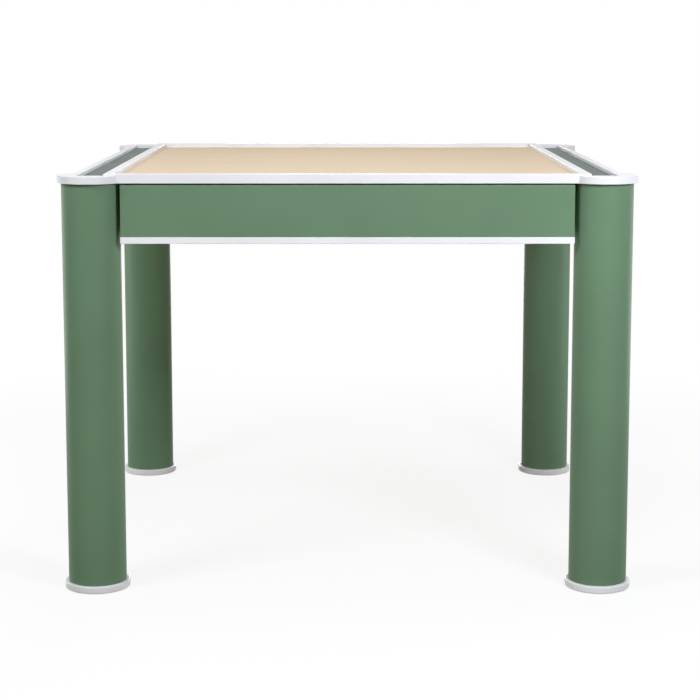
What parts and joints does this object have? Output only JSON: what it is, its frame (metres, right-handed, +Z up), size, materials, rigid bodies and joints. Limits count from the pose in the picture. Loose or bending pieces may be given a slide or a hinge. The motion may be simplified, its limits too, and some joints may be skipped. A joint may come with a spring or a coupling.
{
  "type": "mahjong table",
  "caption": "Square mahjong table with thick round legs on disc feet, a lobed rim, a sunk playing field, a tray along either side and wide flush drawers on wooden runners.",
  "frame": {"origin": "on the floor below the centre of the table", "axes": "+X to the right as seen from the front, +Y from the front drawer to the rear drawer, +Z up"},
  "size_m": [1.006, 1.006, 0.737],
  "materials": {
    "green_lacquer": "satin lacquer",
    "white_lacquer": "satin lacquer",
    "tray_floor": "satin lacquer",
    "play_field": "matt veneer",
    "birch_plywood": "clear matt",
    "beech": "waxed",
    "zinc_steel": "zinc plated",
    "felt": "pressed felt"
  },
  "bodies": {
    "table": {"leg_front_left": "green_lacquer", "leg_front_right": "green_lacquer", "leg_rear_left": "green_lacquer", "leg_rear_right": "green_lacquer", "side_apron_left": "green_lacquer", "side_apron_right": "green_lacquer", "base_board": "white_lacquer", "corner_cap_front_left": "white_lacquer", "corner_cap_front_right": "white_lacquer", "corner_cap_rear_left": "white_lacquer", "corner_cap_rear_right": "white_lacquer", "tray_rail_left": "white_lacquer", "tray_rail_right": "white_lacquer", "frame_rail_front": "white_lacquer", "frame_rail_rear": "white_lacquer", "frame_rail_left": "white_lacquer", "frame_rail_right": "white_lacquer", "foot_front_left": "white_lacquer", "foot_front_right": "white_lacquer", "foot_rear_left": "white_lacquer", "foot_rear_right": "white_lacquer", "side_trim_left": "white_lacquer", "side_trim_right": "white_lacquer", "tray_liner_left": "tray_floor", "tray_liner_right": "tray_floor", "play_panel": "play_field", "deck": "birch_plywood", "cheek_left": "birch_plywood", "cheek_right": "birch_plywood", "centre_divider": "birch_plywood", "runner_front_left": "beech", "runner_front_right": "beech", "runner_rear_left": "beech", "runner_rear_right": "beech", "corner_block_front_left": "beech", "corner_block_front_right": "beech", "corner_block_rear_left": "beech", "corner_block_rear_right": "beech", "drawer_stop_front": "beech", "drawer_stop_rear": "beech", "deck_screws": "zinc_steel", "foot_screws": "zinc_steel", "leg_bolts": "zinc_steel", "runner_screws": "zinc_steel", "felt_pads": "felt"},
    "front_drawer": {"drawer_face_front": "green_lacquer", "drawer_trim_front": "white_lacquer", "drawer_side_front_left": "birch_plywood", "drawer_side_front_right": "birch_plywood", "drawer_back_front": "birch_plywood", "drawer_bottom_front": "birch_plywood"},
    "rear_drawer": {"drawer_face_rear": "green_lacquer", "drawer_trim_rear": "white_lacquer", "drawer_side_rear_left": "birch_plywood", "drawer_side_rear_right": "birch_plywood", "drawer_back_rear": "birch_plywood", "drawer_bottom_rear": "birch_plywood"}
  },
  "joints": [
    {"name": "front_drawer_slide", "type": "slide", "parent": "table", "child": "front_drawer", "axis": [0, -1, 0], "range_m": [0, 0.33]},
    {"name": "rear_drawer_slide", "type": "slide", "parent": "table", "child": "rear_drawer", "axis": [0, 1, 0], "range_m": [0, 0.33]}
  ]
}
